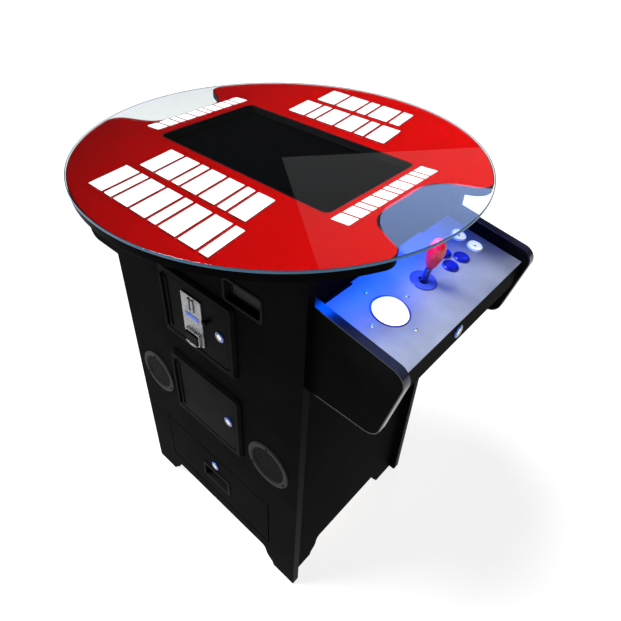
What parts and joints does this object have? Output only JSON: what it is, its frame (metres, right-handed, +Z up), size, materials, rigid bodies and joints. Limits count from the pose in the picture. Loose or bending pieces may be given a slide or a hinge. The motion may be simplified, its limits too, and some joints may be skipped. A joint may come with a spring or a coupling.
{
  "type": "cocktail arcade cabinet",
  "caption": "Pub-height cocktail arcade cabinet with a round glass top over a flat screen, control panels at both ends and coin doors on one side.",
  "frame": {"origin": "on the floor under the middle of the round glass", "axes": "+Z up, -Y out of the coin-door face, +X towards the player at the trackball panel"},
  "size_m": [0.9518, 0.838, 1.087],
  "materials": {
    "black_laminate": "matt black vinyl laminate over board",
    "black_trim": "gloss black T-moulding",
    "raw_board": "unfinished board",
    "clear_glass": "clear polished, blue-green edge",
    "red_artwork": "printed sheet under the glass",
    "black_plastic": "moulded black",
    "screen_face": "dark flat screen",
    "zinc_steel": "zinc-plated",
    "black_steel": "black powder coat",
    "panel_steel": "fine textured silver-white coat",
    "chrome": "bright plated",
    "coin_plate": "grey",
    "blue_plastic": "translucent blue",
    "white_plastic": "white",
    "red_plastic": "red bat top",
    "circuit_board": "green board",
    "led_blue": "lit blue strip"
  },
  "bodies": {
    "cabinet": {"front_side_panel": "black_laminate", "rear_side_panel": "black_laminate", "left_end_panel": "black_laminate", "right_end_panel": "black_laminate", "inner_boards": "raw_board", "edge_trims": "black_trim", "top_board": "black_laminate", "glass_top": "clear_glass", "artwork_sheet": "red_artwork", "screen_bezel": "black_plastic", "screen_panel": "screen_face", "screen_brackets": "zinc_steel", "control_box_sides": "black_laminate", "control_box_boards": "black_laminate", "panel_locks": "chrome", "door_frames": "black_steel", "cash_box": "zinc_steel", "speaker_grilles": "black_plastic", "speaker_drivers": "black_plastic", "upper_pull": "black_plastic", "power_supply": "zinc_steel", "game_board": "circuit_board", "power_inlet": "black_plastic", "led_strips": "led_blue", "fixed_hinges": "black_steel"},
    "coin_door": {"coin_door": "black_steel", "coin_acceptor": "coin_plate", "coin_door_lock": "chrome"},
    "coin_return_flap": {"coin_return_flap": "black_plastic"},
    "reject_button": {"reject_button": "chrome"},
    "coin_door_cam": {"coin_door_cam": "chrome"},
    "cash_door": {"cash_door": "black_steel", "cash_door_lock": "chrome"},
    "cash_door_cam": {"cash_door_cam": "chrome"},
    "access_door": {"access_door": "black_laminate", "access_door_pull": "black_plastic", "access_door_lock": "chrome"},
    "access_door_cam": {"access_door_cam": "chrome"},
    "right_control_panel": {"right_control_panel": "panel_steel", "right_joystick_base": "blue_plastic", "right_button_housings": "blue_plastic", "trackball_housing": "black_plastic"},
    "right_joystick_gimbal": {"right_joystick_gimbal": "black_plastic"},
    "right_joystick_lever": {"right_joystick_lever": "red_plastic"},
    "right_action_button_1": {"right_action_button_1": "blue_plastic"},
    "right_action_button_2": {"right_action_button_2": "blue_plastic"},
    "right_action_button_3": {"right_action_button_3": "blue_plastic"},
    "right_start_button_1": {"right_start_button_1": "white_plastic"},
    "right_start_button_2": {"right_start_button_2": "white_plastic"},
    "right_panel_cam": {"right_panel_cam": "chrome"},
    "left_control_panel": {"left_control_panel": "panel_steel", "left_joystick_base": "blue_plastic", "left_button_housings": "blue_plastic"},
    "left_joystick_gimbal": {"left_joystick_gimbal": "black_plastic"},
    "left_joystick_lever": {"left_joystick_lever": "red_plastic"},
    "left_action_button_1": {"left_action_button_1": "blue_plastic"},
    "left_action_button_2": {"left_action_button_2": "blue_plastic"},
    "left_action_button_3": {"left_action_button_3": "blue_plastic"},
    "left_panel_cam": {"left_panel_cam": "chrome"},
    "trackball_ball": {"trackball_ball": "white_plastic"}
  },
  "joints": [
    {"name": "coin_door_hinge", "type": "hinge", "parent": "cabinet", "child": "coin_door", "pos_m": [-0.1015, -0.2631, 0.783], "axis": [0, 0, -1], "range_deg": [0, 110]},
    {"name": "cash_door_hinge", "type": "hinge", "parent": "cabinet", "child": "cash_door", "pos_m": [-0.1035, -0.2631, 0.511], "axis": [0, 0, -1], "range_deg": [0, 110]},
    {"name": "access_door_pivot", "type": "hinge", "parent": "cabinet", "child": "access_door", "pos_m": [0, -0.245, 0.109], "axis": [1, 0, 0], "range_deg": [0, 85]},
    {"name": "coin_return_swing", "type": "hinge", "parent": "coin_door", "child": "coin_return_flap", "pos_m": [-0.006, -0.27, 0.746], "axis": [1, 0, 0], "range_deg": [0, 60]},
    {"name": "reject_press", "type": "slide", "parent": "coin_door", "child": "reject_button", "axis": [0, 1, 0], "range_m": [0, 0.0035], "stiffness_N_per_m": 250},
    {"name": "coin_door_lock_turn", "type": "hinge", "parent": "coin_door", "child": "coin_door_cam", "pos_m": [0.078, -0.259, 0.787], "axis": [0, 1, 0], "range_deg": [0, 90]},
    {"name": "cash_door_lock_turn", "type": "hinge", "parent": "cash_door", "child": "cash_door_cam", "pos_m": [0.084, -0.259, 0.52], "axis": [0, 1, 0], "range_deg": [0, 90]},
    {"name": "access_door_lock_turn", "type": "hinge", "parent": "access_door", "child": "access_door_cam", "pos_m": [0, -0.251, 0.244], "axis": [0, 1, 0], "range_deg": [0, 90]},
    {"name": "right_panel_lift", "type": "hinge", "parent": "cabinet", "child": "right_control_panel", "pos_m": [0.28127, 0, 0.95355], "axis": [0, -1, 0], "range_deg": [0, 20]},
    {"name": "right_stick_fore_aft", "type": "hinge", "parent": "right_control_panel", "child": "right_joystick_gimbal", "pos_m": [0.3588, 0, 0.92429], "axis": [0, 1, 0], "range_deg": [-10, 10], "stiffness_Nm_per_rad": 1.2},
    {"name": "right_stick_left_right", "type": "hinge", "parent": "right_joystick_gimbal", "child": "right_joystick_lever", "pos_m": [0.3588, 0, 0.92429], "axis": [0.984, 0, -0.1779], "range_deg": [-10, 10], "stiffness_Nm_per_rad": 1.2},
    {"name": "right_action_button_1_press", "type": "slide", "parent": "right_control_panel", "child": "right_action_button_1", "axis": [-0.1779, 0, -0.984], "range_m": [0, 0.003], "stiffness_N_per_m": 250},
    {"name": "right_action_button_2_press", "type": "slide", "parent": "right_control_panel", "child": "right_action_button_2", "axis": [-0.1779, 0, -0.984], "range_m": [0, 0.003], "stiffness_N_per_m": 250},
    {"name": "right_action_button_3_press", "type": "slide", "parent": "right_control_panel", "child": "right_action_button_3", "axis": [-0.1779, 0, -0.984], "range_m": [0, 0.003], "stiffness_N_per_m": 250},
    {"name": "right_start_button_1_press", "type": "slide", "parent": "right_control_panel", "child": "right_start_button_1", "axis": [-0.1779, 0, -0.984], "range_m": [0, 0.003], "stiffness_N_per_m": 250},
    {"name": "right_start_button_2_press", "type": "slide", "parent": "right_control_panel", "child": "right_start_button_2", "axis": [-0.1779, 0, -0.984], "range_m": [0, 0.003], "stiffness_N_per_m": 250},
    {"name": "right_panel_lock_turn", "type": "hinge", "parent": "cabinet", "child": "right_panel_cam", "pos_m": [0.46, -0.03, 0.899], "axis": [-1, 0, 0], "range_deg": [0, 90]},
    {"name": "left_panel_lift", "type": "hinge", "parent": "cabinet", "child": "left_control_panel", "pos_m": [-0.28127, 0, 0.95355], "axis": [0, 1, 0], "range_deg": [0, 20]},
    {"name": "left_stick_fore_aft", "type": "hinge", "parent": "left_control_panel", "child": "left_joystick_gimbal", "pos_m": [-0.3588, 0, 0.92429], "axis": [0, -1, 0], "range_deg": [-10, 10], "stiffness_Nm_per_rad": 1.2},
    {"name": "left_stick_left_right", "type": "hinge", "parent": "left_joystick_gimbal", "child": "left_joystick_lever", "pos_m": [-0.3588, 0, 0.92429], "axis": [-0.984, 0, -0.1779], "range_deg": [-10, 10], "stiffness_Nm_per_rad": 1.2},
    {"name": "left_action_button_1_press", "type": "slide", "parent": "left_control_panel", "child": "left_action_button_1", "axis": [0.1779, 0, -0.984], "range_m": [0, 0.003], "stiffness_N_per_m": 250},
    {"name": "left_action_button_2_press", "type": "slide", "parent": "left_control_panel", "child": "left_action_button_2", "axis": [0.1779, 0, -0.984], "range_m": [0, 0.003], "stiffness_N_per_m": 250},
    {"name": "left_action_button_3_press", "type": "slide", "parent": "left_control_panel", "child": "left_action_button_3", "axis": [0.1779, 0, -0.984], "range_m": [0, 0.003], "stiffness_N_per_m": 250},
    {"name": "left_panel_lock_turn", "type": "hinge", "parent": "cabinet", "child": "left_panel_cam", "pos_m": [-0.46, 0.03, 0.899], "axis": [1, 0, 0], "range_deg": [0, 90]},
    {"name": "trackball_roll", "type": "hinge", "parent": "right_control_panel", "child": "trackball_ball", "pos_m": [0.36354, -0.113, 0.92241], "axis": [0, 1, 0], "continuous": true}
  ]
}
